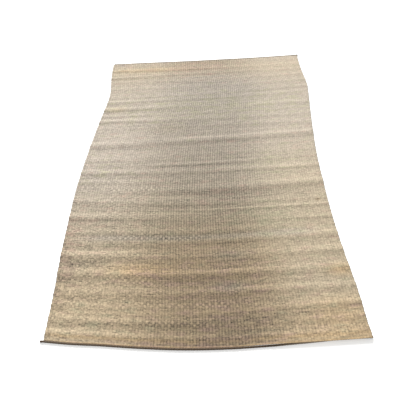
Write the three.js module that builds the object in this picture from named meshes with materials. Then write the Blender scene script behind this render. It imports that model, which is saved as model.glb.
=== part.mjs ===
/**
 * A handwoven jute rug lying on a floor: one rippled sheet of thick cloth with a
 * dark round binding sewn along each end. Millimetres, +Z up, +Y along the rug
 * from its front end to its back end, origin on the floor in the middle.
 */
import * as THREE from 'three';

// Driving dimensions. The lengths are those of straight sides, before the ends' bows.
const WIDTH = 1524;
const LEFT_LENGTH = 2252;
const RIGHT_LENGTH = 2420;
const FRONT_SLANT = 17;
const CLOTH_THICKNESS = 7;
const BINDING_DIAMETER = 9.2;
const SEAM_GAP = 0.7;

// How finely each surface is divided.
const CLOTH_ROWS = 200;
const CLOTH_COLUMNS = 10;
const BINDING_STEPS = 60;
const BINDING_SIDES = 10;
const TIP_CROWDING = 0.06;

// The side edges wander left (-) and right (+) of a straight line. along is the
// share of the length from the front end.
const SIDE_SWAY = [
  { along: 0.00, left: 12, right: -11 },
  { along: 0.10, left: 3, right: -17 },
  { along: 0.20, left: -13, right: -37 },
  { along: 0.30, left: -22, right: -49 },
  { along: 0.40, left: -28, right: -50 },
  { along: 0.50, left: -21, right: -46 },
  { along: 0.60, left: -8, right: -30 },
  { along: 0.70, left: 10, right: -8 },
  { along: 0.78, left: 28, right: 11 },
  { along: 0.83, left: 31, right: 20 },
  { along: 0.92, left: 9, right: 5 },
  { along: 1.00, left: -2, right: 2 },
];

// Both ends bow outwards from a straight line. across is the share of the width
// from the left edge.
const END_BOW = [
  { across: 0.00, front: 4, back: 24 },
  { across: 0.08, front: 15, back: 20 },
  { across: 0.17, front: 22, back: 17 },
  { across: 0.30, front: 35, back: 9 },
  { across: 0.43, front: 42, back: 3 },
  { across: 0.57, front: 38, back: 0 },
  { across: 0.72, front: 24, back: -4 },
  { across: 0.86, front: 13, back: -3 },
  { across: 1.00, front: 0, back: 0 },
];
const FRONT_BOW_FADE = 1.5;
const BACK_BOW_FADE = 4;

// Ripples that cross the rug with its weft. left, middle and right are the shares of
// the length at which the crest meets the left edge, the middle and the right edge,
// reach is from the crest to either foot, and the rest are the crest's heights there.
const RIPPLES = [
  { left: 0.017, middle: 0.016, right: 0.016, reach: 26, leftHeight: 3.2, middleHeight: 1.2, rightHeight: 1.2 },
  { left: 0.046, middle: 0.045, right: 0.043, reach: 32, leftHeight: 3.4, middleHeight: 1.6, rightHeight: 2.2 },
  { left: 0.075, middle: 0.075, right: 0.077, reach: 32, leftHeight: 2.2, middleHeight: 0.8, rightHeight: 4.0 },
  { left: 0.104, middle: 0.111, right: 0.112, reach: 34, leftHeight: 2.6, middleHeight: 3.0, rightHeight: 2.8 },
  { left: 0.153, middle: 0.155, right: 0.157, reach: 44, leftHeight: 4.4, middleHeight: 5.0, rightHeight: 3.0 },
  { left: 0.200, middle: 0.198, right: 0.201, reach: 40, leftHeight: 6.0, middleHeight: 2.0, rightHeight: 5.0 },
  { left: 0.234, middle: 0.240, right: 0.243, reach: 38, leftHeight: 2.0, middleHeight: 2.6, rightHeight: 4.2 },
  { left: 0.264, middle: 0.267, right: 0.268, reach: 26, leftHeight: 2.0, middleHeight: 1.8, rightHeight: 0.2 },
  { left: 0.290, middle: 0.292, right: 0.293, reach: 26, leftHeight: 0.4, middleHeight: 0.8, rightHeight: 2.6 },
  { left: 0.311, middle: 0.308, right: 0.306, reach: 32, leftHeight: 5.2, middleHeight: 1.0, rightHeight: 0.6 },
  { left: 0.330, middle: 0.331, right: 0.330, reach: 22, leftHeight: 0.0, middleHeight: 0.8, rightHeight: 3.0 },
  { left: 0.362, middle: 0.352, right: 0.352, reach: 34, leftHeight: 2.8, middleHeight: 2.2, rightHeight: 1.0 },
  { left: 0.392, middle: 0.396, right: 0.405, reach: 50, leftHeight: 0.8, middleHeight: 4.2, rightHeight: 5.8 },
  { left: 0.428, middle: 0.426, right: 0.430, reach: 26, leftHeight: 2.4, middleHeight: 0.6, rightHeight: 0.8 },
  { left: 0.464, middle: 0.462, right: 0.464, reach: 32, leftHeight: 4.6, middleHeight: 2.6, rightHeight: 3.6 },
  { left: 0.492, middle: 0.490, right: 0.500, reach: 20, leftHeight: 0.3, middleHeight: 2.2, rightHeight: 0.6 },
  { left: 0.512, middle: 0.520, right: 0.520, reach: 36, leftHeight: 2.4, middleHeight: 0.6, rightHeight: 0.8 },
  { left: 0.572, middle: 0.584, right: 0.595, reach: 50, leftHeight: 5.6, middleHeight: 4.6, rightHeight: 4.6 },
  { left: 0.648, middle: 0.648, right: 0.640, reach: 36, leftHeight: 1.2, middleHeight: 1.4, rightHeight: 1.6 },
  { left: 0.682, middle: 0.680, right: 0.680, reach: 30, leftHeight: 4.6, middleHeight: 1.6, rightHeight: 1.2 },
  { left: 0.707, middle: 0.710, right: 0.710, reach: 24, leftHeight: 2.4, middleHeight: 0.6, rightHeight: 0.8 },
  { left: 0.740, middle: 0.742, right: 0.737, reach: 34, leftHeight: 5.0, middleHeight: 1.2, rightHeight: 2.4 },
  { left: 0.776, middle: 0.784, right: 0.792, reach: 34, leftHeight: 3.4, middleHeight: 1.8, rightHeight: 0.8 },
  { left: 0.803, middle: 0.806, right: 0.822, reach: 28, leftHeight: 1.4, middleHeight: 1.4, rightHeight: 2.2 },
  { left: 0.850, middle: 0.850, right: 0.858, reach: 30, leftHeight: 1.6, middleHeight: 0.4, rightHeight: 1.4 },
  { left: 0.890, middle: 0.888, right: 0.890, reach: 28, leftHeight: 1.4, middleHeight: 0.4, rightHeight: 1.6 },
  { left: 0.913, middle: 0.924, right: 0.920, reach: 28, leftHeight: 3.6, middleHeight: 1.6, rightHeight: 1.0 },
  { left: 0.933, middle: 0.936, right: 0.940, reach: 22, leftHeight: 1.0, middleHeight: 0.8, rightHeight: 1.2 },
  { left: 0.957, middle: 0.953, right: 0.952, reach: 32, leftHeight: 3.6, middleHeight: 1.6, rightHeight: 1.0 },
];
const RIPPLE_FADE = 1.5;

// The front binding lies just before the cloth on the left and runs in under it
// on the right. lift is how high the cloth's end is held, and lead is how far the
// middle of the binding lies before the cloth's edge.
const BESIDE = BINDING_DIAMETER / 2 + SEAM_GAP;
const OVER_BINDING = BINDING_DIAMETER + SEAM_GAP;
const TUCKED_IN = -6;
const FRONT_SEAM = [
  { across: 0.00, lift: 0, lead: BESIDE },
  { across: 0.60, lift: 0, lead: BESIDE },
  { across: 0.70, lift: OVER_BINDING, lead: BESIDE },
  { across: 0.80, lift: OVER_BINDING, lead: 0 },
  { across: 0.88, lift: OVER_BINDING, lead: TUCKED_IN },
  { across: 1.00, lift: OVER_BINDING, lead: TUCKED_IN },
];
const LIFT_SHELF = 16;
const LIFT_SLOPE = 75;

// The bindings' ends stand out past the cloth's corners, or stop short of them.
const STUBS = {
  front: { left: 15, right: 6 },
  back: { left: -6, right: 7 },
};
const STUB_LENGTH = 18;
const STUB_SWELL = 1.15;
const TIP_LENGTH = 4;
const TIP_SHARE = 0.45;

const JUTE = new THREE.MeshStandardMaterial({ color: '#b7a486', roughness: 0.95, metalness: 0 });
const DARK_BINDING = new THREE.MeshStandardMaterial({ color: '#43382e', roughness: 0.9, metalness: 0 });

/** Finds the two rows of a table that a place lies between, and the share of the way. */
function findRows(table, placeColumn, place) {
  let first = 0;
  while (first < table.length - 2 && place > table[first + 1][placeColumn]) {
    first += 1;
  }
  const start = table[first][placeColumn];
  const end = table[first + 1][placeColumn];
  return { first, span: end - start, share: (place - start) / (end - start) };
}

/** Reads a column of a table as straight lines between its rows. */
function readStraight(table, placeColumn, column, place) {
  const { first, share } = findRows(table, placeColumn, place);
  return THREE.MathUtils.lerp(table[first][column], table[first + 1][column], share);
}

/** Reads a column of a table as one smooth curve through its rows. */
function readSmooth(table, placeColumn, column, place) {
  const { first, span, share } = findRows(table, placeColumn, place);
  const slopeAt = (row) => {
    const before = table[Math.max(row - 1, 0)];
    const after = table[Math.min(row + 1, table.length - 1)];
    return (after[column] - before[column]) / (after[placeColumn] - before[placeColumn]);
  };
  const rest = 1 - share;
  const startPart = table[first][column] * (1 + 2 * share) + slopeAt(first) * span * share;
  const endPart = table[first + 1][column] * (1 + 2 * rest) - slopeAt(first + 1) * span * rest;
  return startPart * rest * rest + endPart * share * share;
}

/** Where a point of the cloth lies on the floor plan, from its shares across and along. */
function planPoint(across, along) {
  const inside = THREE.MathUtils.clamp(across, 0, 1);
  const left = -WIDTH / 2 + readSmooth(SIDE_SWAY, 'along', 'left', along);
  const right = WIDTH / 2 + readSmooth(SIDE_SWAY, 'along', 'right', along);
  const leftY = LEFT_LENGTH * along;
  const rightY = FRONT_SLANT + RIGHT_LENGTH * along;
  const frontBow = readSmooth(END_BOW, 'across', 'front', inside) * (1 - along) ** FRONT_BOW_FADE;
  const backBow = readSmooth(END_BOW, 'across', 'back', inside) * along ** BACK_BOW_FADE;
  return new THREE.Vector2(
    THREE.MathUtils.lerp(left, right, across),
    THREE.MathUtils.lerp(leftY, rightY, inside) - frontBow + backBow,
  );
}

/** How long a share of the cloth's length is at a share across. */
function distanceAlong(across, share) {
  return THREE.MathUtils.lerp(LEFT_LENGTH, RIGHT_LENGTH, across) * share;
}

/** Where a ripple's crest lies at a share across: an arc through its three places. */
function crestAlong(ripple, across) {
  const bend = ripple.middle - (ripple.left + ripple.right) / 2;
  return THREE.MathUtils.lerp(ripple.left, ripple.right, across) + bend * 4 * across * (1 - across);
}

/** Height of one ripple: a rounded hump that falls to the floor at its reach. */
function rippleHeight(ripple, across, along) {
  const distance = distanceAlong(across, along - crestAlong(ripple, across));
  if (Math.abs(distance) >= ripple.reach) {
    return 0;
  }
  const edge = across < 0.5 ? ripple.leftHeight : ripple.rightHeight;
  const nearEdge = Math.abs(2 * across - 1) ** RIPPLE_FADE;
  const crest = THREE.MathUtils.lerp(ripple.middleHeight, edge, nearEdge);
  return crest * 0.5 * (1 + Math.cos(Math.PI * distance / ripple.reach));
}

/** Height of the cloth's underside over the floor. */
function clothRise(across, along) {
  const ripples = RIPPLES.reduce((sum, ripple) => sum + rippleHeight(ripple, across, along), 0);
  const fromEnd = distanceAlong(across, along) - LIFT_SHELF;
  const held = 1 - THREE.MathUtils.smoothstep(fromEnd, 0, LIFT_SLOPE);
  return ripples + held * readStraight(FRONT_SEAM, 'across', 'lift', across);
}

/**
 * Makes one closed solid from rings of points, all with the same even number of
 * points. Each ring goes along its top from left to right and back along its
 * underside, so the two end rings close as strips from the top to the underside.
 */
function solidFromRings(rings) {
  const count = rings[0].length;
  const triangles = [];
  for (let ring = 0; ring < rings.length - 1; ring += 1) {
    for (let i = 0; i < count; i += 1) {
      const here = ring * count + i;
      const beside = ring * count + (i + 1) % count;
      triangles.push(here, beside, beside + count);
      triangles.push(here, beside + count, here + count);
    }
  }
  const lastRing = (rings.length - 1) * count;
  for (let i = 0; i < count / 2 - 1; i += 1) {
    const corners = [i, i + 1, count - 2 - i, count - 1 - i];
    const [a, b, c, d] = corners;
    triangles.push(a, c, b, a, d, c);
    triangles.push(lastRing + a, lastRing + b, lastRing + c, lastRing + a, lastRing + c, lastRing + d);
  }
  const geometry = new THREE.BufferGeometry();
  const places = rings.flat().flatMap((point) => point.toArray());
  geometry.setAttribute('position', new THREE.Float32BufferAttribute(places, 3));
  geometry.setIndex(triangles);
  geometry.computeVertexNormals();
  return geometry;
}

/** The sheet of cloth: a ring round its section at each row from front to back. */
function makeCloth() {
  const rings = [];
  for (let row = 0; row <= CLOTH_ROWS; row += 1) {
    const along = row / CLOTH_ROWS;
    const top = [];
    const underside = [];
    for (let column = 0; column <= CLOTH_COLUMNS; column += 1) {
      const across = column / CLOTH_COLUMNS;
      const { x, y } = planPoint(across, along);
      const rise = clothRise(across, along);
      top.push(new THREE.Vector3(x, y, rise + CLOTH_THICKNESS));
      underside.unshift(new THREE.Vector3(x, y, rise));
    }
    rings.push([...top, ...underside]);
  }
  return new THREE.Mesh(solidFromRings(rings), JUTE);
}

/** Thickness of a binding at a distance from its tip: a rounded tip on a swollen stub. */
function bindingShare(fromTip) {
  const swell = 1 - THREE.MathUtils.smoothstep(fromTip, TIP_LENGTH, STUB_LENGTH);
  const inset = Math.max(0, 1 - fromTip / TIP_LENGTH);
  const tip = TIP_SHARE + (1 - TIP_SHARE) * Math.sqrt(1 - inset * inset);
  return tip * THREE.MathUtils.lerp(1, STUB_SWELL, swell);
}

/** Steps along a binding as shares of its length, closer together towards both tips. */
function bindingStep(step) {
  const share = step / BINDING_STEPS;
  return share - TIP_CROWDING * Math.sin(2 * Math.PI * share);
}

/** A round binding along one end of the cloth, flat where it lies on the floor. */
function makeBinding(along, outwards, stubs, leadAt) {
  const start = -stubs.left / WIDTH;
  const end = 1 + stubs.right / WIDTH;
  const length = (end - start) * WIDTH;
  const rings = [];
  for (let step = 0; step <= BINDING_STEPS; step += 1) {
    const share = bindingStep(step);
    const across = THREE.MathUtils.lerp(start, end, share);
    const middle = planPoint(across, along);
    const fromTip = Math.min(share, 1 - share) * length;
    const radius = BINDING_DIAMETER / 2 * bindingShare(fromTip);
    const ring = [];
    for (let side = 0; side < BINDING_SIDES; side += 1) {
      const turn = side / BINDING_SIDES * 2 * Math.PI;
      const y = middle.y + outwards * leadAt(across) + Math.cos(turn) * radius;
      const z = radius * (Math.cos(Math.PI / BINDING_SIDES) + Math.sin(turn));
      ring.push(new THREE.Vector3(middle.x, y, z));
    }
    rings.push(ring);
  }
  return new THREE.Mesh(solidFromRings(rings), DARK_BINDING);
}

const cloth = makeCloth();
cloth.name = 'cloth';

const frontLead = (across) => readStraight(FRONT_SEAM, 'across', 'lead', THREE.MathUtils.clamp(across, 0, 1));
const frontBinding = makeBinding(0, -1, STUBS.front, frontLead);
frontBinding.name = 'front_binding';

const backBinding = makeBinding(1, 1, STUBS.back, () => BESIDE);
backBinding.name = 'back_binding';

// The origin is on the floor, in the middle of the box round the whole rug.
const rug = new THREE.Group();
rug.add(cloth, frontBinding, backBinding);
const middle = new THREE.Box3().setFromObject(rug).getCenter(new THREE.Vector3());
rug.position.set(-middle.x, -middle.y, 0);

export default rug;
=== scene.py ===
"""Looks of a handwoven jute rug on a pale floor: one rippled sheet of ribbed cloth
with a dark twisted binding along each end. Metres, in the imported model's frame:
+Z up, +Y along the rug from its front end to its back end."""

import logging
import math
from dataclasses import dataclass, field
from enum import Enum
from typing import Any, NamedTuple, Sequence

import bpy
import numpy as np
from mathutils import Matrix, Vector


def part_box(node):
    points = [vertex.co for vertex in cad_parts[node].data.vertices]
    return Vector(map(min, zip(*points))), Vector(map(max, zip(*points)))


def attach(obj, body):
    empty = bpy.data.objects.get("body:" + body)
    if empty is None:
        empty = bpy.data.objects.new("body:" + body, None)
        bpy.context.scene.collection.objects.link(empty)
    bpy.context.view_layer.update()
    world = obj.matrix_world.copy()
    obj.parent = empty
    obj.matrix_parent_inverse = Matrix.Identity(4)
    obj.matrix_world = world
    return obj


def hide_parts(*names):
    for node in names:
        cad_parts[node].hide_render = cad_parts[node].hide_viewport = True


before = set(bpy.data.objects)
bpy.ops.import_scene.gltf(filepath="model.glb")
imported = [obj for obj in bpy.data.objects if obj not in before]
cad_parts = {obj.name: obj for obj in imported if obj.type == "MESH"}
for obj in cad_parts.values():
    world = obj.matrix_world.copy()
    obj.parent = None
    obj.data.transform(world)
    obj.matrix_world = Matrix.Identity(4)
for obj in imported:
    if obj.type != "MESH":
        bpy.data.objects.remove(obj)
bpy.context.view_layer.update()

log = logging.getLogger("jute_rug")

MM = 0.001

# The cloth's cut and its weave.
WIDTH = 1524 * MM
LEFT_LENGTH = 2252 * MM
RIGHT_LENGTH = 2420 * MM
FRONT_SLANT = 17 * MM
CLOTH_THICKNESS = 7 * MM
BINDING_DIAMETER = 9.2 * MM
SEAM_GAP = 0.7 * MM
MEAN_LENGTH = (LEFT_LENGTH + RIGHT_LENGTH) / 2
RIBS = 101
PICKS = 154
RIB_PITCH = WIDTH / RIBS
PICK_PITCH = MEAN_LENGTH / PICKS
WEFT_PITCH = PICK_PITCH / 2


class Sway(NamedTuple):
    """How far the side edges lie right (+) of a straight line, in millimetres."""

    along: float
    left: float
    right: float


class Bow(NamedTuple):
    """How far the two ends bow outwards, in millimetres."""

    across: float
    front: float
    back: float


class Ripple(NamedTuple):
    """A ripple across the cloth: where its crest lies along the left edge, the middle
    and the right edge, its reach to each foot, and its heights there, in millimetres."""

    left: float
    middle: float
    right: float
    reach: float
    left_height: float
    middle_height: float
    right_height: float


class Seam(NamedTuple):
    """How high the front end is held, and how far the binding lies before it, in
    millimetres."""

    across: float
    lift: float
    lead: float


class Dye(NamedTuple):
    """How much dark dye a binding holds, from 0 to 1, at a share across the rug; at the front end
    the dark is partly painted shade.
    """

    across: float
    amount: float


class Tone(NamedTuple):
    """How light the yarn is at the left and right sides, partly its own paleness and
    partly painted light that rises towards the back end, how much darker a lane down
    the middle is, and how warm its colour is at left, middle and right."""

    along: float
    left: float
    right: float
    lane: float
    warm_left: float
    warm_middle: float
    warm_right: float


class Patch(NamedTuple):
    """A soft-edged area of other jute, a small knot, or painted shade: its middle and half
    sizes as shares of the cloth, and what it adds to the cloth's lightness and warmth."""

    across: float
    along: float
    half_width: float
    half_length: float
    light: float
    warm: float


class Tint(NamedTuple):
    """A soft-edged area whose batches of yarn lean to rose (+) or to olive (-): its
    middle and half sizes as shares of the cloth, and how much they lean."""

    across: float
    along: float
    half_width: float
    half_length: float
    rose: float


class Streak(NamedTuple):
    """A run of lighter or darker weft, or a line of painted light or shade on a ripple's
    slopes, in a crease or along the front edge: where it starts and stops across the
    cloth, its places along it there, its half width in millimetres, and what it adds."""

    start: float
    stop: float
    start_along: float
    stop_along: float
    half_width: float
    light: float
    warm: float = 0.0


class Dots(NamedTuple):
    """A band where the pale knots stand out as a chequer: where it starts and stops
    across the cloth, its place along it, its half width in millimetres, its strength."""

    start: float
    stop: float
    along: float
    half_width: float
    strength: float


class Weave(NamedTuple):
    """How strongly the painted shade in the rib grooves shows, and how uneven the weft
    is, at the left side, in the lane and at the right side."""

    along: float
    groove_shade_left: float
    groove_shade_lane: float
    groove_shade_right: float
    grain_left: float
    grain_lane: float
    grain_right: float


SIDE_SWAY = (
    Sway(0.00, 12, -11),
    Sway(0.10, 3, -17),
    Sway(0.20, -13, -37),
    Sway(0.30, -22, -49),
    Sway(0.40, -28, -50),
    Sway(0.50, -21, -46),
    Sway(0.60, -8, -30),
    Sway(0.70, 10, -8),
    Sway(0.78, 28, 11),
    Sway(0.83, 31, 20),
    Sway(0.92, 9, 5),
    Sway(1.00, -2, 2),
)

END_BOW = (
    Bow(0.00, 4, 24),
    Bow(0.08, 15, 20),
    Bow(0.17, 22, 17),
    Bow(0.30, 35, 9),
    Bow(0.43, 42, 3),
    Bow(0.57, 38, 0),
    Bow(0.72, 24, -4),
    Bow(0.86, 13, -3),
    Bow(1.00, 0, 0),
)
FRONT_BOW_FADE = 1.5
BACK_BOW_FADE = 4

RIPPLES = (
    Ripple(0.017, 0.016, 0.016, 26, 3.2, 1.2, 1.2),
    Ripple(0.046, 0.045, 0.043, 32, 3.4, 1.6, 2.2),
    Ripple(0.075, 0.075, 0.077, 32, 2.2, 0.8, 4.0),
    Ripple(0.104, 0.111, 0.112, 34, 2.6, 3.0, 2.8),
    Ripple(0.153, 0.155, 0.157, 44, 4.4, 5.0, 3.0),
    Ripple(0.200, 0.198, 0.201, 40, 6.0, 2.0, 5.0),
    Ripple(0.234, 0.240, 0.243, 38, 2.0, 2.6, 4.2),
    Ripple(0.264, 0.267, 0.268, 26, 2.0, 1.8, 0.2),
    Ripple(0.290, 0.292, 0.293, 26, 0.4, 0.8, 2.6),
    Ripple(0.311, 0.308, 0.306, 32, 5.2, 1.0, 0.6),
    Ripple(0.330, 0.331, 0.330, 22, 0.0, 0.8, 3.0),
    Ripple(0.362, 0.352, 0.352, 34, 2.8, 2.2, 1.0),
    Ripple(0.392, 0.396, 0.405, 50, 0.8, 4.2, 5.8),
    Ripple(0.428, 0.426, 0.430, 26, 2.4, 0.6, 0.8),
    Ripple(0.464, 0.462, 0.464, 32, 4.6, 2.6, 3.6),
    Ripple(0.492, 0.490, 0.500, 20, 0.3, 2.2, 0.6),
    Ripple(0.512, 0.520, 0.520, 36, 2.4, 0.6, 0.8),
    Ripple(0.572, 0.584, 0.595, 50, 5.6, 4.6, 4.6),
    Ripple(0.648, 0.648, 0.640, 36, 1.2, 1.4, 1.6),
    Ripple(0.682, 0.680, 0.680, 30, 4.6, 1.6, 1.2),
    Ripple(0.707, 0.710, 0.710, 24, 2.4, 0.6, 0.8),
    Ripple(0.740, 0.742, 0.737, 34, 5.0, 1.2, 2.4),
    Ripple(0.776, 0.784, 0.792, 34, 3.4, 1.8, 0.8),
    Ripple(0.803, 0.806, 0.822, 28, 1.4, 1.4, 2.2),
    Ripple(0.850, 0.850, 0.858, 30, 1.6, 0.4, 1.4),
    Ripple(0.890, 0.888, 0.890, 28, 1.4, 0.4, 1.6),
    Ripple(0.913, 0.924, 0.920, 28, 3.6, 1.6, 1.0),
    Ripple(0.933, 0.936, 0.940, 22, 1.0, 0.8, 1.2),
    Ripple(0.957, 0.953, 0.952, 32, 3.6, 1.6, 1.0),
)
RIPPLE_FADE = 1.5

BESIDE = (BINDING_DIAMETER / 2 + SEAM_GAP) / MM
OVER_BINDING = (BINDING_DIAMETER + SEAM_GAP) / MM
FRONT_SEAM = (
    Seam(0.00, 0, BESIDE),
    Seam(0.60, 0, BESIDE),
    Seam(0.70, OVER_BINDING, BESIDE),
    Seam(0.80, OVER_BINDING, 0),
    Seam(0.88, OVER_BINDING, -6),
    Seam(1.00, OVER_BINDING, -6),
)
LIFT_SHELF = 16 * MM
LIFT_SLOPE = 75 * MM

# The front binding's near-black dye is partly painted shade, the dark line under the cloth's front
# edge.
FRONT_DYE_AND_SHADE = (Dye(0.00, 0.95), Dye(0.70, 1.00), Dye(0.80, 0.60), Dye(0.97, 0.50), Dye(0.99, 1.00))
BACK_DYE = (Dye(0.000, 0.10), Dye(0.600, 0.15), Dye(0.966, 0.10), Dye(0.976, 1.00))

# The yarn's tone along the rug, from the front end to the back end; its rise towards the back is
# partly painted light.
TONES = (
    Tone(0.00, 0.98, 0.78, 0.47, 0.60, 0.80, 0.85),
    Tone(0.10, 0.93, 0.93, 0.45, 0.65, 0.85, 0.50),
    Tone(0.20, 0.88, 1.01, 0.42, 0.50, 0.85, 0.50),
    Tone(0.30, 0.92, 1.00, 0.40, 0.33, 0.58, 0.45),
    Tone(0.42, 1.06, 1.08, 0.38, 0.05, 0.28, 0.38),
    Tone(0.55, 1.15, 1.12, 0.35, 0.00, 0.15, 0.18),
    Tone(0.70, 1.13, 1.15, 0.27, 0.03, 0.05, 0.05),
    Tone(0.85, 1.11, 1.14, 0.23, 0.15, 0.00, 0.15),
    Tone(0.95, 1.08, 1.20, 0.24, 0.40, 0.45, 0.35),
    Tone(1.00, 1.11, 1.17, 0.27, 0.30, 0.45, 0.20),
)

# How the weave looks, from the front end to the back end.
WEAVES = (
    Weave(0.00, 0.5, 1.1, 0.8, 1.1, 0.55, 0.8),
    Weave(0.20, 0.6, 1.2, 0.8, 1.1, 0.55, 0.8),
    Weave(0.40, 1.2, 1.9, 0.9, 1.05, 0.6, 0.8),
    Weave(0.80, 1.2, 2.0, 0.6, 0.9, 0.7, 0.7),
    Weave(1.00, 1.0, 1.9, 0.6, 1.0, 0.9, 0.8),
)

# Bands of clear dots, from the front end to the back end.
DOTS = (
    Dots(0.05, 0.55, 0.045, 12, 1.2),
    Dots(0.02, 0.60, 0.085, 12, 1.2),
    Dots(0.02, 0.35, 0.145, 40, 1.0),
    Dots(0.08, 0.40, 0.205, 14, 0.6),
    Dots(0.10, 0.50, 0.252, 24, 1.4),
    Dots(0.10, 0.32, 0.401, 10, 2.6),
)

# Areas woven from other batches of jute, small knots and painted shade, from the front end to the
# back end.
PATCHES = (
    # Painted shade: darker along the left edge near the front.
    Patch(0.00, 0.130, 0.07, 0.160, -0.12, 0.00),
    Patch(0.92, 0.060, 0.16, 0.050, 0.00, 0.25),
    Patch(0.58, 0.125, 0.08, 0.016, -0.04, -0.40),
    Patch(0.97, 0.150, 0.08, 0.020, -0.02, 0.45),
    Patch(0.20, 0.155, 0.08, 0.012, 0.08, 0.00),
    Patch(0.28, 0.165, 0.16, 0.024, -0.02, 0.35),
    Patch(0.60, 0.200, 0.10, 0.020, -0.06, -0.25),
    Patch(0.96, 0.345, 0.014, 0.005, -0.50, 0.40),
    Patch(0.78, 0.375, 0.14, 0.050, -0.06, 0.00),
    Patch(0.12, 0.610, 0.09, 0.012, 0.12, 0.00),
    Patch(0.33, 0.645, 0.10, 0.030, -0.09, 0.15),
    Patch(0.06, 0.740, 0.07, 0.020, 0.02, 0.40),
    Patch(0.06, 0.957, 0.030, 0.004, -0.35, 0.50),
    Patch(0.22, 0.955, 0.30, 0.022, 0.02, 0.35),
    Patch(0.052, 0.991, 0.026, 0.009, -0.30, -0.30),
)

# Where the yarn leans to rose or to olive, from the front end to the back end.
TINTS = (
    Tint(0.40, 0.004, 0.45, 0.010, 0.70),
    Tint(0.15, 0.050, 0.20, 0.060, -0.20),
    Tint(0.55, 0.100, 0.22, 0.160, 0.55),
    Tint(0.32, 0.150, 0.12, 0.040, 0.50),
    Tint(0.00, 0.200, 0.14, 0.150, 0.50),
    Tint(0.00, 0.290, 0.10, 0.040, 0.50),
    Tint(0.76, 0.300, 0.17, 0.070, -0.75),
    Tint(0.58, 0.370, 0.15, 0.060, 0.45),
    Tint(0.10, 0.460, 0.16, 0.090, -0.30),
    Tint(0.80, 0.480, 0.17, 0.080, -0.60),
    Tint(0.55, 0.740, 0.80, 0.120, -0.70),
    Tint(0.45, 0.960, 0.26, 0.060, 0.75),
    Tint(0.052, 0.991, 0.030, 0.010, 0.60),
)
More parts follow.
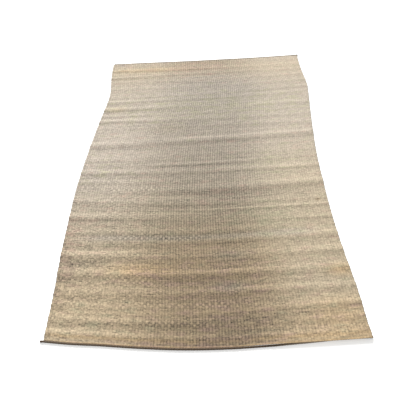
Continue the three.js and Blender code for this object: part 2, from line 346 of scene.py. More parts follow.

# Runs of lighter and darker weft, and painted ripple and crease shade, from the front end to the
# back end.
STREAKS = (
    # Painted highlight: lightens the front edge's rounding, which faces away from the light.
    Streak(0.00, 1.00, 0.000, 0.000, 4.5, 1.00, 0.25),
    Streak(0.72, 1.00, 0.006, 0.006, 5.0, 0.20),
    Streak(0.00, 1.00, 0.012, 0.012, 9.0, 0.00, 0.30),
    Streak(0.00, 0.45, 0.023, 0.023, 5.0, 0.12),
    Streak(0.58, 1.00, 0.028, 0.024, 9.0, -0.14),
    Streak(0.00, 0.88, 0.034, 0.060, 9.0, -0.17),
    Streak(0.58, 0.86, 0.047, 0.055, 8.0, -0.10),
    Streak(0.00, 1.00, 0.063, 0.079, 9.0, 0.18),
    Streak(0.30, 0.56, 0.087, 0.090, 7.0, 0.10),
    Streak(0.86, 1.00, 0.090, 0.092, 8.0, 0.16),
    Streak(0.40, 0.83, 0.135, 0.105, 6.0, 0.08),
    Streak(0.60, 0.90, 0.120, 0.120, 6.0, 0.12),
    Streak(0.00, 0.10, 0.137, 0.140, 18.0, -0.12),
    Streak(0.32, 0.50, 0.138, 0.140, 7.0, -0.10),
    Streak(0.15, 0.70, 0.156, 0.164, 8.0, 0.12),
    Streak(0.50, 0.95, 0.169, 0.175, 11.0, -0.11),
    Streak(0.00, 0.15, 0.176, 0.179, 16.0, -0.24),
    Streak(0.14, 0.31, 0.179, 0.179, 10.0, 0.16),
    Streak(0.40, 0.84, 0.184, 0.201, 6.0, 0.10),
    Streak(0.57, 0.70, 0.187, 0.187, 5.0, -0.18),
    Streak(0.00, 0.29, 0.205, 0.216, 9.0, 0.24),
    Streak(0.40, 0.69, 0.226, 0.213, 8.0, 0.10),
    Streak(0.52, 0.66, 0.232, 0.232, 5.0, -0.18),
    Streak(0.00, 0.50, 0.240, 0.250, 7.0, -0.13),
    Streak(0.08, 0.90, 0.250, 0.252, 20.0, -0.07, -0.28),
    Streak(0.71, 1.00, 0.260, 0.262, 7.0, 0.16, -0.10),
    Streak(0.77, 0.94, 0.274, 0.274, 9.0, -0.10),
    Streak(0.00, 0.33, 0.302, 0.302, 5.0, -0.18),
    Streak(0.02, 0.50, 0.323, 0.323, 11.0, 0.20),
    Streak(0.45, 0.97, 0.330, 0.333, 3.0, 0.30),
    Streak(0.30, 0.65, 0.345, 0.345, 4.0, -0.12),
    Streak(0.60, 0.90, 0.360, 0.370, 4.0, -0.18),
    Streak(0.00, 0.50, 0.380, 0.372, 11.0, 0.20),
    Streak(0.52, 1.00, 0.376, 0.381, 12.0, -0.14),
    Streak(0.45, 0.70, 0.386, 0.384, 4.0, -0.14),
    Streak(0.55, 1.00, 0.421, 0.426, 7.0, 0.14),
    Streak(0.71, 0.88, 0.440, 0.441, 10.0, -0.10),
    Streak(0.00, 0.44, 0.444, 0.445, 8.0, -0.13),
    Streak(0.28, 1.00, 0.455, 0.464, 8.0, 0.12),
    Streak(0.57, 1.00, 0.474, 0.458, 10.0, 0.10),
    Streak(0.30, 0.65, 0.483, 0.483, 4.0, -0.22),
    Streak(0.00, 0.30, 0.490, 0.497, 8.0, -0.18),
    Streak(0.72, 1.00, 0.494, 0.497, 11.0, -0.10),
    Streak(0.04, 0.32, 0.559, 0.554, 8.0, -0.20),
    Streak(0.38, 0.80, 0.601, 0.583, 9.0, 0.12),
    Streak(0.17, 0.34, 0.586, 0.586, 11.0, -0.22),
    Streak(0.35, 1.00, 0.592, 0.605, 5.0, 0.12),
    Streak(0.20, 0.43, 0.621, 0.622, 12.0, -0.11),
    Streak(0.55, 0.80, 0.640, 0.675, 5.0, -0.13),
    Streak(0.10, 0.50, 0.657, 0.660, 10.0, -0.20),
    Streak(0.05, 0.78, 0.683, 0.741, 11.0, 0.10),
    Streak(0.00, 0.42, 0.726, 0.744, 9.0, -0.10),
    Streak(0.50, 0.95, 0.730, 0.752, 5.0, 0.12),
    Streak(0.50, 0.70, 0.745, 0.745, 5.0, -0.12),
    Streak(0.12, 0.50, 0.768, 0.765, 9.0, 0.10),
    Streak(0.22, 0.65, 0.786, 0.792, 7.0, -0.15),
    Streak(0.58, 0.93, 0.813, 0.822, 8.0, -0.20),
    Streak(0.00, 0.29, 0.839, 0.844, 9.0, 0.10),
    Streak(0.28, 0.58, 0.880, 0.862, 8.0, -0.18),
    Streak(0.38, 0.60, 0.900, 0.900, 5.0, -0.08, -0.35),
    Streak(0.10, 0.60, 0.917, 0.903, 8.0, 0.08),
    Streak(0.00, 0.28, 0.906, 0.906, 4.0, -0.16, 0.20),
    Streak(0.38, 0.52, 0.947, 0.947, 5.0, -0.20, 0.20),
    Streak(0.30, 0.60, 0.985, 0.985, 14.0, -0.04, 0.20),
    Streak(0.66, 0.96, 0.993, 0.993, 6.0, 0.12),
)


def linear(code: str) -> tuple[float, float, float, float]:
    """Turns an sRGB hex colour into the linear values that Blender works with.

    Args:
        code: Six hex digits after a hash sign.

    Returns:
        Red, green, blue and an alpha of 1.
    """
    shares = [int(code[i : i + 2], 16) / 255 for i in (1, 3, 5)]
    return (*(s / 12.92 if s <= 0.04045 else ((s + 0.055) / 1.055) ** 2.4 for s in shares), 1.0)


def column(table: Sequence[tuple], name: str) -> np.ndarray:
    """One named column of a table, as an array."""
    return np.array([getattr(row, name) for row in table], dtype=float)


def read_smooth(places: np.ndarray, values: np.ndarray, at: np.ndarray) -> np.ndarray:
    """Reads a table's column as one smooth curve through its rows.

    Between two rows it is the cubic that meets both values, with each row's slope
    taken from the line between the rows on either side of it.

    Args:
        places: Where the rows lie, rising.
        values: What the rows say.
        at: The places to read.

    Returns:
        The curve's values at those places.
    """
    before = np.maximum(np.arange(len(places)) - 1, 0)
    after = np.minimum(np.arange(len(places)) + 1, len(places) - 1)
    slopes = (values[after] - values[before]) / (places[after] - places[before])
    row = np.clip(np.searchsorted(places, at) - 1, 0, len(places) - 2)
    span = places[row + 1] - places[row]
    share = (at - places[row]) / span
    rest = 1 - share
    start = values[row] * (1 + 2 * share) + slopes[row] * span * share
    end = values[row + 1] * (1 + 2 * rest) - slopes[row + 1] * span * rest
    return start * rest**2 + end * share**2


def smoothstep(value: np.ndarray, low: float, high: float) -> np.ndarray:
    """Rises from 0 at low to 1 at high as 3t² − 2t³."""
    t = np.clip((value - low) / (high - low), 0, 1)
    return t * t * (3 - 2 * t)


class Layout:
    """Where the cloth lies on the floor, as functions of the shares across and along. Its
    outline is measured on an even grid of samples."""

    samples_across = 41
    samples_along = 401

    def __init__(self) -> None:
        """Finds the shift that puts the layout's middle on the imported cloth's middle."""
        self.shift = (0.0, 0.0)
        samples = np.linspace(0, 1, self.samples_across), np.linspace(0, 1, self.samples_along)
        across, along = np.meshgrid(*samples)
        low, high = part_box("cloth")
        middles = [(v.min() + v.max()) / 2 for v in self.plan(across, along)]
        self.shift = tuple((low[i] + high[i]) / 2 - middles[i] for i in (0, 1))

    def plan(self, across: np.ndarray, along: np.ndarray) -> tuple[np.ndarray, np.ndarray]:
        """The cloth's floor plan.

        X runs straight from the left edge to the right edge at each row, and Y runs
        from a slanting front end to the back end, both ends bowed outwards.

        Args:
            across: Shares of the width from the left edge.
            along: Shares of the length from the front end.

        Returns:
            The X and the Y of each point.
        """
        inside = np.clip(across, 0, 1)
        places = column(SIDE_SWAY, "along")
        left = -WIDTH / 2 + MM * read_smooth(places, column(SIDE_SWAY, "left"), along)
        right = WIDTH / 2 + MM * read_smooth(places, column(SIDE_SWAY, "right"), along)
        places = column(END_BOW, "across")
        front = MM * read_smooth(places, column(END_BOW, "front"), inside)
        back = MM * read_smooth(places, column(END_BOW, "back"), inside)
        length = LEFT_LENGTH * (1 - inside) + RIGHT_LENGTH * inside
        x = left * (1 - across) + right * across + self.shift[0]
        bow = back * along**BACK_BOW_FADE - front * np.clip(1 - along, 0, 1) ** FRONT_BOW_FADE
        return x, length * along + FRONT_SLANT * inside + bow + self.shift[1]

    def rise(self, across: np.ndarray, along: np.ndarray) -> np.ndarray:
        """Height of the cloth's underside: the sum of its ripples, each half a cosine
        wave from its crest line to either foot, and of the front end's lift over its
        binding. A crest line is an arc through its places at both edges and the middle.

        Args:
            across: Shares of the width from the left edge.
            along: Shares of the length from the front end.

        Returns:
            The height of each point over the floor.
        """
        length = LEFT_LENGTH * (1 - across) + RIGHT_LENGTH * across
        near_edge = np.abs(2 * across - 1) ** RIPPLE_FADE
        total = np.zeros_like(across)
        for ripple in RIPPLES:
            straight = ripple.left * (1 - across) + ripple.right * across
            bend = ripple.middle - (ripple.left + ripple.right) / 2
            crest_line = straight + bend * 4 * across * (1 - across)
            turn = np.clip(length * (along - crest_line) / (ripple.reach * MM), -1, 1)
            edge = np.where(across < 0.5, ripple.left_height, ripple.right_height)
            crest = ripple.middle_height + (edge - ripple.middle_height) * near_edge
            total += crest * MM * 0.5 * (1 + np.cos(np.pi * turn))
        lift = np.interp(across, column(FRONT_SEAM, "across"), column(FRONT_SEAM, "lift")) * MM
        held = 1 - smoothstep(length * along - LIFT_SHELF, 0, LIFT_SLOPE)
        return total + held * lift


class Work(Enum):
    """The kinds of node that the finishes are made of."""

    UV = "ShaderNodeUVMap"
    ATTRIBUTE = "ShaderNodeAttribute"
    SPLIT = "ShaderNodeSeparateXYZ"
    JOIN = "ShaderNodeCombineXYZ"
    MATH = "ShaderNodeMath"
    VECTOR = "ShaderNodeVectorMath"
    NOISE = "ShaderNodeTexNoise"
    CELLS = "ShaderNodeTexWhiteNoise"
    MIX = "ShaderNodeMix"
    BUMP = "ShaderNodeBump"


class Graph:
    """A material's node tree, with its surface shader ready."""

    def __init__(self, name: str) -> None:
        """Makes a material of that name."""
        self.material = bpy.data.materials.new(name)
        self.material.use_nodes = True
        self.tree = self.material.node_tree
        self.surface = self.tree.nodes["Principled BSDF"]

    def fill(self, node: bpy.types.Node, key: int | str, value: Any) -> None:
        """Links or sets one input of a node."""
        if isinstance(value, bpy.types.NodeSocket):
            self.tree.links.new(value, node.inputs[key])
        else:
            node.inputs[key].default_value = value

    def add(
        self, kind: Work, *ins: Any, out: int | str = 0, named: dict | None = None, **settings: Any
    ) -> bpy.types.NodeSocket:
        """Adds a node with its settings and what goes into it.

        Args:
            kind: Which node.
            ins: Values or other nodes' outputs for the inputs in order; None leaves one
                as it is.
            out: The output that the caller wants.
            named: Values or outputs for inputs by name or number.
            settings: The node's own settings.

        Returns:
            The output socket.
        """
        node = self.tree.nodes.new(kind.value)
        for name, value in settings.items():
            setattr(node, name, value)
        for key, value in {**dict(enumerate(ins)), **(named or {})}.items():
            if value is not None:
                self.fill(node, key, value)
        return node.outputs[out]

    def read(self, name: str) -> bpy.types.NodeSocket:
        """Reads a value that the mesh carries at each of its points."""
        return self.add(Work.ATTRIBUTE, out="Fac", attribute_name=name)

    def blend(self, share: Any, low: Any, high: Any) -> bpy.types.NodeSocket:
        """Blends from a low colour at share 0 to a high one at share 1."""
        return self.add(Work.MIX, share, data_type="RGBA", out=2, named={6: low, 7: high})

    def drawn_noise(
        self, place: Any, length: float, width: float, detail: float, roughness: float = 0.5
    ) -> bpy.types.NodeSocket:
        """Noise in spots that are drawn out along the first direction of the place.

        Args:
            place: The coordinates, in metres.
            length: About how long a spot is.
            width: About how wide it is.
            detail: How many finer layers the noise has.
            roughness: How strong the finer layers are.

        Returns:
            The noise, from 0 to 1.
        """
        spots = self.add(Work.VECTOR, place, (1 / length, 1 / width, 1), operation="MULTIPLY")
        looks = {"Vector": spots, "Scale": 1, "Detail": detail, "Roughness": roughness}
        return self.add(Work.NOISE, named=looks)


@dataclass(frozen=True)
class WovenJute:
    """Natural jute, plain woven by hand over thick ribs: matt and straw-coloured, with
    rounded ribs, uneven knots of weft that make a clear chequer in a few bands, and
    yarns that differ in tone and hue. Each rib's crest is painted lighter and its
    grooves darker, as painted shade. A tone is a share of the yarn's lightness."""

    name: str = "woven_natural_jute"
    grey: str = "#a89d8f"
    straw: str = "#ad9e85"
    tan: str = "#b49b77"
    rose: str = "#b19483"
    olive: str = "#a39e80"
    roughness: float = 0.92
    sheen: float = 0.08
    rib_groove_shade: float = 0.18
    chequer_tone: float = 0.16
    knot_tone: float = 1.24
    knots_per_rib: float = 1.6
    cell_tone: float = 0.42
    row_tone: float = 0.10
    run_tone: float = 0.36
    run_length: float = 120 * MM
    run_width: float = 6 * MM
    run_roughness: float = 0.6
    fibre_tone: float = 0.30
    fibre_length: float = 12 * MM
    fibre_width: float = 3 * MM
    batch_length: float = 90 * MM
    batch_width: float = 25 * MM
    batch_contrast: float = 4.0
    batch_start: float = 0.2
    hue_share: float = 0.65
    knot_relief: float = 0.3 * MM
    fibre_relief: float = 0.5 * MM

    def material(self) -> bpy.types.Material:
        """Builds the finish from the cloth's own weave coordinates.

        Returns:
            The material.
        """
        g = Graph(self.name)
        m = Work.MATH
        place = g.add(Work.UV, uv_map="weave")
        u = g.add(Work.SPLIT, place, out="X")
        v = g.add(Work.SPLIT, place, out="Y")
        # How strongly the painted shade in the rib grooves shows at each point.
        ribs = g.read("ribs")
        grain = g.read("grain")
        dots = g.read("dots")
        rib = g.add(m, u, 1 / RIB_PITCH, operation="MULTIPLY")
        weft = g.add(m, v, 1 / WEFT_PITCH, operation="MULTIPLY")
        rib_wave = g.add(m, g.add(m, rib, math.pi, operation="MULTIPLY"), operation="SINE")
        pick_wave = g.add(m, g.add(m, weft, math.pi / 2, operation="MULTIPLY"), operation="SINE")
        chequer = g.add(m, rib_wave, pick_wave, operation="MULTIPLY")
        groove_shade_wave = g.add(m, rib_wave, rib_wave, operation="MULTIPLY")

        # One tone for each weft's crossing of a rib, and one for each row of weft.
        row = g.add(m, weft, operation="FLOOR")
        crossing = g.add(Work.JOIN, g.add(m, rib, operation="FLOOR"), row)
        cells = g.add(Work.CELLS, crossing, out="Value", noise_dimensions="3D")
        rows = g.add(Work.CELLS, named={"W": row}, out="Value", noise_dimensions="1D")
        # Knots in the weft, narrower than a rib and as long as a row, lie at no even places.
        across = g.add(m, rib, self.knots_per_rib, operation="MULTIPLY")
        spots = g.add(Work.JOIN, across, weft)
        knots = g.add(Work.NOISE, named={"Vector": spots, "Scale": 1, "Detail": 1})

        # Weft yarns differ in tone along runs, and fibres are drawn coarser than real
        # ones, so that they show.
        runs = g.drawn_noise(place, self.run_length, self.run_width, 3, self.run_roughness)
        fibres = g.drawn_noise(place, self.fibre_length, self.fibre_width, 2)

        tone = g.read("lightness")
        # The rib wave paints each rib's crest lighter and its grooves darker: painted shade.
        for wave, middle, amount, share in (
            (groove_shade_wave, 0.5, self.rib_groove_shade, ribs),
            (chequer, 0.0, self.chequer_tone, dots),
            (knots, 0.5, self.knot_tone, grain),
            (cells, 0.5, self.cell_tone, grain),
            (rows, 0.5, self.row_tone, None),
            (runs, 0.5, self.run_tone, None),
            (fibres, 0.5, self.fibre_tone, grain),
        ):
            change = g.add(m, wave, amount, -middle * amount, operation="MULTIPLY_ADD")
            if share:
                change = g.add(m, change, share, operation="MULTIPLY")
            tone = g.add(m, tone, change, operation="ADD")

        warm = g.read("warmth")
        cool = g.add(m, warm, 2, operation="MULTIPLY", use_clamp=True)
        hot = g.add(m, warm, 2, -1, operation="MULTIPLY_ADD", use_clamp=True)
        # Batches of yarn lean to rose or to olive, about a middle tone that leans to neither.
        batches = g.drawn_noise(place, self.batch_length, self.batch_width, 2)
        contrast = self.batch_contrast
        lean = g.add(m, batches, contrast, -contrast / 2, operation="MULTIPLY_ADD")
        lean = g.add(m, lean, g.read("rose"), operation="ADD")
        rosy = g.add(m, lean, -self.batch_start, operation="ADD", use_clamp=True)
        green = g.add(m, lean, -1, -self.batch_start, operation="MULTIPLY_ADD", use_clamp=True)
        colour = g.blend(cool, linear(self.grey), linear(self.straw))
        colour = g.blend(hot, colour, linear(self.tan))
        for hue, batch in ((self.rose, rosy), (self.olive, green)):
            share = g.add(m, batch, self.hue_share, operation="MULTIPLY")
            colour = g.blend(share, colour, linear(hue))
        colour = g.add(Work.VECTOR, colour, named={"Scale": tone}, operation="SCALE")

        knot_share = self.knot_relief / self.fibre_relief
        height = g.add(m, knots, knot_share, fibres, operation="MULTIPLY_ADD")
        reach = {"Height": height, "Distance": self.fibre_relief, "Strength": 1.0}
        bump = g.add(Work.BUMP, named=reach)
        g.fill(g.surface, "Base Color", colour)
        g.fill(g.surface, "Normal", bump)
        g.fill(g.surface, "Roughness", self.roughness)
        g.fill(g.surface, "Sheen Weight", self.sheen)
        return g.material


@dataclass(frozen=True)
class TwistedYarn:
    """Jute yarn dyed dark brown and twisted from two plies: near black, matt, with paler
    fibres where it is rubbed, and bare jute where it holds no dye. Along the front end
    its near-black colour is partly painted shade under the cloth's front edge."""

    name: str = "twisted_dyed_yarn"
    dark: str = "#3a2c1f"
    worn: str = "#67533d"
    bare: str = "#c2b5a3"
    roughness: float = 0.9
    fibre_length: float = 8 * MM
    fibre_width: float = 1 * MM
    wear_contrast: float = 2.2
    wear_start: float = -0.8
    relief: float = 0.4 * MM

    def material(self) -> bpy.types.Material:
        """Builds the finish from the yarn's own coordinates.

        Returns:
            The material.
        """
        g = Graph(self.name)
        place = g.add(Work.UV, uv_map="yarn")
        fibres = g.drawn_noise(place, self.fibre_length, self.fibre_width, 3)
        wear = (self.wear_contrast, self.wear_start)
        worn = g.add(Work.MATH, fibres, *wear, operation="MULTIPLY_ADD", use_clamp=True)
        dyed = g.blend(worn, linear(self.dark), linear(self.worn))
        colour = g.blend(g.read("dye"), linear(self.bare), dyed)
        reach = {"Height": fibres, "Distance": self.relief, "Strength": 1.0}
        bump = g.add(Work.BUMP, named=reach)
        g.fill(g.surface, "Base Color", colour)
        g.fill(g.surface, "Normal", bump)
        g.fill(g.surface, "Roughness", self.roughness)
        return g.material


@dataclass(frozen=True)
class LitAcrylic:
    """A floor of matt white acrylic, lit a little from below as a photo table is: even
    and bright, so that the rug's shadow on it stays faint."""

    name: str = "matt_white_acrylic"
    colour: str = "#f7f7f6"
    roughness: float = 0.9
    glow: float = 0.35

    def material(self) -> bpy.types.Material:
        """Builds the even finish."""
        g = Graph(self.name)
        g.fill(g.surface, "Base Color", linear(self.colour))
        g.fill(g.surface, "Roughness", self.roughness)
        g.fill(g.surface, "Emission Color", linear(self.colour))
        g.fill(g.surface, "Emission Strength", self.glow)
        return g.material


def make_piece(
    name: str, points: np.ndarray, faces: list, uv_name: str, uv: np.ndarray
) -> bpy.types.Object:
    """Makes a smooth mesh object at the origin, with a UV place for each point.

    Args:
        name: The object's name.
        points: One row of X, Y and Z for each vertex.
        faces: Vertex numbers of each face, anticlockwise from outside.
        uv_name: The UV map's name.
        uv: One row of U and V for each vertex.

    Returns:
        The object, in the scene.
    """
    mesh = bpy.data.meshes.new(name)
    mesh.from_pydata(points.tolist(), [], faces)
    mesh.polygons.foreach_set("use_smooth", np.ones(len(mesh.polygons), dtype=bool))
    corners = np.empty(len(mesh.loops), dtype=np.int32)
    mesh.loops.foreach_get("vertex_index", corners)
    mesh.uv_layers.new(name=uv_name).data.foreach_set("uv", uv[corners].astype(np.float32).ravel())
    mesh.validate()
    mesh.update()
    piece = bpy.data.objects.new(name, mesh)
    bpy.context.scene.collection.objects.link(piece)
    return piece


def write_values(piece: bpy.types.Object, name: str, values: np.ndarray) -> None:
    """Writes a value for each point of a piece, under a name that its finish reads."""
    layer = piece.data.attributes.new(name, "FLOAT", "POINT")
    layer.data.foreach_set("value", values.astype(np.float32))


def dress(piece: bpy.types.Object, material: bpy.types.Material, node: str) -> None:
    """Gives a piece its material, puts it under the root body and hides the CAD node it stands
    for.
    """
    piece.data.materials.append(material)
    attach(piece, "root")
    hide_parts(node)


@dataclass
class RibbedCloth:
    """The cloth: a closed sheet whose top is a fine grid over its ribs and picks, with a
    coarser underside, and edges rounded to half its thickness. The lane, placed by shares
    of the width, is a strip down the middle where the cloth is darker and its weave and
    warmth differ, and the selvedge is the side edge."""

    layout: Layout
    finish: WovenJute = field(default_factory=WovenJute)
    steps_per_rib: int = 3
    steps_per_pick: int = 2
    under_steps: int = 6
    edge_steps: tuple[float, ...] = (0.6 * MM, 1.6 * MM)
    edge_radius: float = 2.4 * MM
    rib_relief: float = 1.5 * MM
    knot_relief: float = 0.6 * MM
    even_knots: float = 0.25
    crest_over: float = 0.5 * MM
    loop_depth: float = 1.4 * MM
    loop_least: float = 0.2
    loop_reach: float = 12 * MM
    patch_power: float = 2.0
    streak_fade: float = 0.06
    lane_middle: float = 0.545
    lane_left_reach: float = 0.30
    lane_right_reach: float = 0.21
    lane_power: float = 3.0
    # Painted shade along both side edges, where the rounded selvedge turns from the light.
    selvedge_painted_shade: float = -0.40
    selvedge_reach: float = 5 * MM
    seed: int = 31

    def shares(self, count: int, size: float) -> np.ndarray:
        """Even steps from 0 to 1, with a few close ones at either end for the rounding."""
        close = np.array(self.edge_steps) / size
        return np.sort(np.concatenate([np.linspace(0, 1, count + 1), close, 1 - close]))

    def grid(self) -> tuple[np.ndarray, np.ndarray]:
        """Shares across and along of every point of the top."""
        across = self.shares(RIBS * self.steps_per_rib, WIDTH)
        along = self.shares(PICKS * self.steps_per_pick, MEAN_LENGTH)
        return np.meshgrid(across, along)

    def lane(self, across: np.ndarray) -> np.ndarray:
        """How much of the lane is at each share across: a flat-topped bell curve."""
        reach = np.where(across < self.lane_middle, self.lane_left_reach, self.lane_right_reach)
        return np.exp(-(np.abs((across - self.lane_middle) / reach) ** self.lane_power))

    def spread(
        self, table: Sequence[tuple], names: Sequence[str], across: np.ndarray, along: np.ndarray
    ) -> np.ndarray:
        """Spreads three columns of a table over the cloth.

        Along the cloth each column is read as a smooth curve. Across it the left one
        passes smoothly into the right one, and in the lane both pass into the middle one.

        Args:
            table: Rows with a place along the cloth.
            names: The columns for the left side, the lane and the right side.
            across: Shares of the width from the left edge.
            along: Shares of the length from the front end.

        Returns:
            The value at each point.
        """
        places = column(table, "along")
        left, middle, right = (read_smooth(places, column(table, name), along) for name in names)
        side = smoothstep(across, 0, 1)
        plain = left * (1 - side) + right * side
        return plain + (middle - plain) * self.lane(across)

    def bell(self, row: Patch | Tint, across: np.ndarray, along: np.ndarray) -> np.ndarray:
        """How much of an area is at each point: a bell curve of the distance from its middle."""
        far = ((across - row.across) / row.half_width) ** 2
        return np.exp(-self.patch_power * (far + ((along - row.along) / row.half_length) ** 2))

    def band(self, row: Streak | Dots, across: np.ndarray, off: np.ndarray) -> np.ndarray:
        """How much of a streak or band is at each point.

        Args:
            row: The table's row.
            across: Shares of the width from the left edge.
            off: How far along the cloth the point lies from the middle line, as a share.

        Returns:
            A bell curve across the band, fading smoothly at both ends.
        """
        fade = self.streak_fade
        share = np.exp(-((off * MEAN_LENGTH / (row.half_width * MM)) ** 2))
        share *= smoothstep(across, row.start - fade, row.start + fade)
        return share * (1 - smoothstep(across, row.stop - fade, row.stop + fade))

    def tones(self, across: np.ndarray, along: np.ndarray) -> tuple[np.ndarray, np.ndarray]:
        """Lightness and warmth of the yarn at each point.

        Lightness and warmth run smoothly from the left side to the right side, and a
        lane down the middle changes both by a bell curve of the distance from it. A
        patch adds its amount times a bell curve of the distance from its middle. A
        streak adds its amount times a bell curve across its width, and rises and falls
        smoothly at its two ends. Some streaks are painted light and shade on the slopes
        of ripples and in creases, and the first is a painted highlight on the front edge.
        Along both side edges the lightness falls as painted shade.

        Args:
            across: Shares of the width from the left edge.
            along: Shares of the length from the front end.

        Returns:
            The lightness, about 1, and the warmth, from 0 to 1.
        """
        places = column(TONES, "along")
        left = read_smooth(places, column(TONES, "left"), along)
        right = read_smooth(places, column(TONES, "right"), along)
        lane = read_smooth(places, column(TONES, "lane"), along)
        side = smoothstep(across, 0, 1)
        light = (left * (1 - side) + right * side) * (1 - lane * self.lane(across))
        warm = self.spread(TONES, ("warm_left", "warm_middle", "warm_right"), across, along)
        for patch in PATCHES:
            share = self.bell(patch, across, along)
            light += patch.light * share
            warm += patch.warm * share
        for streak in STREAKS:
            slant = (streak.stop_along - streak.start_along) / (streak.stop - streak.start)
            off = along - streak.start_along - slant * (across - streak.start)
            share = self.band(streak, across, off)
            light += streak.light * share
            warm += streak.warm * share
        # Painted shade: the lightness falls towards both side edges.
        from_edge = np.minimum(across, 1 - across) * WIDTH
        light += self.selvedge_painted_shade * np.exp(-from_edge / self.selvedge_reach)
        return light, np.clip(warm, 0, 1)

    def surface(self, across: np.ndarray, along: np.ndarray) -> tuple[np.ndarray, np.ndarray]:
        """Points of the top, and the height of the underside below each.

        The top is the underside's rise plus the thickness. A rib's crest stands a
        little over that, and the groove beside it lies the rib relief lower, by 1 minus
        sin² of the place within the rib. At each crossing of a rib and a pick stands a
        knot, the product of the rib wave and the pick wave, partly even as a chequer
        and partly its own. Along the side edges each pick turns in a small loop, a sine
        wave that fades inwards as e to the minus distance. Within the edge radius top
        and underside close on a quarter circle at half the thickness.

        Args:
            across: Shares of the width from the left edge.
            along: Shares of the length from the front end.

        Returns:
            X, Y and Z of the top, and the height of the underside.
        """
        rng = np.random.default_rng(self.seed)
        loops = rng.uniform(self.loop_least, 1.0, (PICKS + 1, 2)) * self.loop_depth
        pick = np.clip((along * PICKS).astype(int), 0, PICKS)
        swing = np.sin(np.pi * along * PICKS)
        x, y = self.layout.plan(across, along)
        left = loops[pick, 0] * swing * np.exp(-across * WIDTH / self.loop_reach)
        right = loops[pick, 1] * swing * np.exp(-(1 - across) * WIDTH / self.loop_reach)
        x = x + left - right
        rib_wave = np.sin(np.pi * across * RIBS)
        relief = self.crest_over - self.rib_relief * (1 - rib_wave**2)
        rib = np.clip((across * RIBS).astype(int), 0, RIBS - 1)
        own = rng.uniform(-1, 1, (PICKS + 1, RIBS))[pick, rib]
        knot = rib_wave * swing
        uneven = (1 - self.even_knots) * own * np.abs(knot)
        relief += self.knot_relief * (self.even_knots * knot + uneven)
        from_sides = np.minimum(across, 1 - across) * WIDTH
        from_ends = np.minimum(along, 1 - along) * MEAN_LENGTH
        near = np.clip(np.minimum(from_sides, from_ends) / self.edge_radius, 0, 1)
        drop = (1 - np.sqrt(1 - (1 - near) ** 2)) * CLOTH_THICKNESS / 2
        base = self.layout.rise(across, along)
        top = base + CLOTH_THICKNESS + relief * near - drop
        return np.stack([x, y, top], axis=-1), base + drop

    def skin(self, rows: int, columns: int) -> tuple[list, np.ndarray]:
        """Faces of the closed sheet over a grid of its top.

        The underside keeps every row of the grid but only a few of its columns. Its own
        points follow the top's, and at the side edges it uses the top's.

        Args:
            rows: How many rows of points the top has.
            columns: How many points each row has.

        Returns:
            The faces, and the inner columns that the underside keeps.
        """
        numbers = np.arange(rows * columns).reshape(rows, columns)
        quads = [numbers[:-1, :-1], numbers[:-1, 1:], numbers[1:, 1:], numbers[1:, :-1]]
        faces = np.stack(quads, axis=-1).reshape(-1, 4).tolist()

        picked = np.linspace(0, columns - 1, self.under_steps + 1).astype(int)
        inner = picked[1:-1]
        own = np.arange((rows - 2) * len(inner)).reshape(rows - 2, len(inner))
        low = np.column_stack([numbers[1:-1, 0], rows * columns + own, numbers[1:-1, -1]])
        quads = [low[:-1, :-1], low[1:, :-1], low[1:, 1:], low[:-1, 1:]]
        faces += np.stack(quads, axis=-1).reshape(-1, 4).tolist()
        for k in range(self.under_steps):
            rim = slice(picked[k], picked[k + 1] + 1)
            faces.append([*low[0, k : k + 2].tolist(), *numbers[0, rim][::-1].tolist()])
            faces.append([*numbers[-1, rim].tolist(), *low[-1, k : k + 2][::-1].tolist()])
        return faces, inner

    def looks(self, across: np.ndarray, along: np.ndarray) -> dict[str, np.ndarray]:
        """What the finish reads at each point of the top.

        Args:
            across: Shares of the width from the left edge.
            along: Shares of the length from the front end.

        Returns:
            Lightness, warmth, the strength of the painted shade in the rib grooves, of grain
            and of dots, and the lean to rose.
        """
        light, warm = self.tones(across, along)
        ribs = ("groove_shade_left", "groove_shade_lane", "groove_shade_right")
        grain = ("grain_left", "grain_lane", "grain_right")
        return {
            "lightness": light,
            "warmth": warm,
            "ribs": self.spread(WEAVES, ribs, across, along),
            "grain": self.spread(WEAVES, grain, across, along),
            "dots": sum(row.strength * self.band(row, across, along - row.along) for row in DOTS),
            "rose": sum(row.rose * self.bell(row, across, along) for row in TINTS),
        }

    def build(self) -> bpy.types.Object:
        """Builds the closed sheet in its finish.

        Returns:
            The cloth.
        """
        across, along = self.grid()
        top, under = self.surface(across, along)
        faces, inner = self.skin(*across.shape)
        bottom = top[1:-1, inner].copy()
        bottom[..., 2] = under[1:-1, inner]
        points = np.concatenate([top.reshape(-1, 3), bottom.reshape(-1, 3)])
        flat = np.stack([across * WIDTH, along * MEAN_LENGTH], axis=-1)
        uv = np.concatenate([flat.reshape(-1, 2), flat[1:-1, inner].reshape(-1, 2)])
        piece = make_piece("jute_cloth", points, faces, "weave", uv)
        for name, values in self.looks(across, along).items():
            every = np.concatenate([values.ravel(), values[1:-1, inner].ravel()])
            write_values(piece, name, every)
        dress(piece, self.finish.material(), "cloth")
        return piece


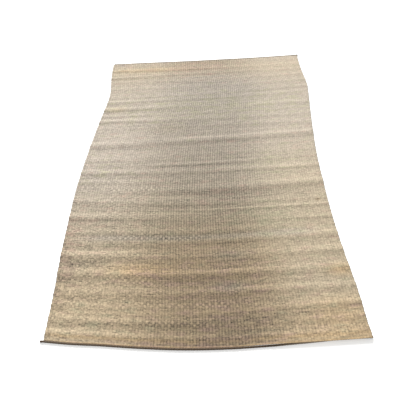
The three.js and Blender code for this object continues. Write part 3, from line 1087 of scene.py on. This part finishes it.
@dataclass
class TwistedBinding:
    """A dark two-ply yarn laid along one end of the cloth, with rounded tips. It lies at
    a share along the cloth, outwards is +1 towards the back and -1 towards the front,
    and each stub is how far it stands out past the cloth's corner."""

    name: str
    node: str
    layout: Layout
    along: float
    outwards: float
    left_stub: float
    right_stub: float
    under_cloth: bool
    dye: tuple[Dye, ...]
    finish: bpy.types.Material
    steps: int = 620
    tip_crowding: float = 0.02
    sides: int = 18
    plies: int = 2
    ply_depth: float = 0.10
    twist_pitch: float = 26 * MM
    tip_length: float = 4 * MM
    tip_share: float = 0.45
    stub_length: float = 18 * MM
    stub_swell: float = 1.12

    def build(self) -> bpy.types.Object:
        """Carries the yarn's section along its path.

        The section's radius is the yarn's own times 1 minus the ply depth times
        sin² of the ply angle, which turns with the distance along the yarn. It
        shrinks on an ellipse over each tip and swells a little over each stub. The
        steps crowd towards both tips by a sine wave.

        Returns:
            The binding.
        """
        start = -self.left_stub / WIDTH
        end = 1 + self.right_stub / WIDTH
        length = (end - start) * WIDTH
        share = np.linspace(0, 1, self.steps + 1)
        share = share - self.tip_crowding * np.sin(2 * np.pi * share)
        across = start + (end - start) * share
        x, y = self.layout.plan(across, np.full_like(across, self.along))
        lead = np.full_like(across, BESIDE)
        if self.under_cloth:
            lead = np.interp(across, column(FRONT_SEAM, "across"), column(FRONT_SEAM, "lead"))
        y = y + self.outwards * lead * MM
        from_tip = np.minimum(share, 1 - share) * length
        inset = np.clip(1 - from_tip / self.tip_length, 0, 1)
        tip = self.tip_share + (1 - self.tip_share) * np.sqrt(1 - inset**2)
        on_stub = 1 - smoothstep(from_tip, self.tip_length, self.stub_length)
        swell = 1 + (self.stub_swell - 1) * on_stub
        radius = BINDING_DIAMETER / 2 * tip * swell
        turn = np.linspace(0, 2 * np.pi, self.sides, endpoint=False)
        place = share * length
        ply = self.plies * (turn[None, :] / 2 + np.pi * place[:, None] / self.twist_pitch)
        section = radius[:, None] * (1 - self.ply_depth * np.sin(ply) ** 2)
        points = np.stack(
            [
                np.broadcast_to(x[:, None], section.shape),
                y[:, None] + np.cos(turn)[None, :] * section,
                radius[:, None] + np.sin(turn)[None, :] * section,
            ],
            axis=-1,
        )
        numbers = np.arange(section.size).reshape(section.shape)
        beside = np.roll(numbers, -1, axis=1)
        quads = [numbers[:-1], beside[:-1], beside[1:], numbers[1:]]
        faces = np.stack(quads, axis=-1).reshape(-1, 4).tolist()
        faces.append(numbers[0][::-1].tolist())
        faces.append(numbers[-1].tolist())
        uv = np.stack(
            [
                np.broadcast_to(place[:, None], section.shape),
                np.broadcast_to(turn * BINDING_DIAMETER / 2, section.shape),
            ],
            axis=-1,
        )
        piece = make_piece(self.name, points.reshape(-1, 3), faces, "yarn", uv.reshape(-1, 2))
        dye = np.interp(across, column(self.dye, "across"), column(self.dye, "amount"))
        write_values(piece, "dye", np.repeat(dye, self.sides))
        dress(piece, self.finish, self.node)
        return piece


@dataclass
class Studio:
    """A pale floor, soft light from over the far end, and the camera. Lengths are in
    metres, the lens in millimetres and angles in degrees."""

    floor_size: float = 14.0
    lamp_height: float = 26.0
    lamp_turn: float = -12.0
    lamp_spread: float = 30.0
    lamp_power: float = 5.4
    sky: float = 0.55
    camera_place: tuple[float, float, float] = (-0.0272, -1.8797, 1.8098)
    camera_down: float = 50.0
    camera_turn: float = 0.442
    camera_lens: float = 36.0
    camera_sensor: float = 36.0

    def make_floor(self) -> bpy.types.Object:
        """Makes the floor."""
        half = self.floor_size / 2
        points = np.array([(-half, -half, 0), (half, -half, 0), (half, half, 0), (-half, half, 0)])
        floor = make_piece("studio_floor", points, [[0, 1, 2, 3]], "floor", points[:, :2])
        floor.data.materials.append(LitAcrylic().material())
        return floor

    def make_lamp(self) -> None:
        """Makes the soft lamp, which shines low over the far end and a little from the left."""
        data = bpy.data.lights.new("soft_lamp", "SUN")
        data.energy = self.lamp_power
        data.angle = math.radians(self.lamp_spread)
        lamp = bpy.data.objects.new("soft_lamp", data)
        down = math.radians(90 - self.lamp_height)
        lamp.rotation_euler = (-down, 0, math.radians(-self.lamp_turn))
        bpy.context.scene.collection.objects.link(lamp)

    def make_sky(self) -> None:
        """Makes the even white light from all round."""
        world = bpy.data.worlds.new("white_studio")
        world.use_nodes = True
        background = world.node_tree.nodes["Background"]
        background.inputs["Color"].default_value = (1, 1, 1, 1)
        background.inputs["Strength"].default_value = self.sky
        bpy.context.scene.world = world

    def make_camera(self) -> None:
        """Makes the camera that looks down the rug from its front end."""
        data = bpy.data.cameras.new("camera")
        data.lens = self.camera_lens
        data.sensor_width = self.camera_sensor
        camera = bpy.data.objects.new("camera", data)
        camera.location = self.camera_place
        tilt = math.radians(90 - self.camera_down)
        camera.rotation_euler = (tilt, 0, math.radians(self.camera_turn))
        bpy.context.scene.collection.objects.link(camera)
        bpy.context.scene.camera = camera

    def build(self) -> bpy.types.Object:
        """Builds the studio and returns its floor."""
        self.make_camera()
        self.make_lamp()
        self.make_sky()
        bpy.context.scene.view_settings.view_transform = "Standard"
        return self.make_floor()


def main() -> None:
    """Builds the studio and the rug."""
    logging.basicConfig(level=logging.INFO, format="%(message)s")
    floor = Studio().build()
    layout = Layout()
    cloth = RibbedCloth(layout).build()
    yarn = TwistedYarn().material()
    front = TwistedBinding(
        name="front_yarn",
        node="front_binding",
        layout=layout,
        along=0.0,
        outwards=-1.0,
        left_stub=15 * MM,
        right_stub=6 * MM,
        under_cloth=True,
        dye=FRONT_DYE_AND_SHADE,
        finish=yarn,
    ).build()
    back = TwistedBinding(
        name="back_yarn",
        node="back_binding",
        layout=layout,
        along=1.0,
        outwards=1.0,
        left_stub=-6 * MM,
        right_stub=7 * MM,
        under_cloth=False,
        dye=BACK_DYE,
        finish=yarn,
    ).build()
    for piece in (cloth, front, back):
        triangles = sum(len(face.vertices) - 2 for face in piece.data.polygons)
        log.info("%s: %d triangles", piece.name, triangles)


if __name__ == "__main__":
    main()
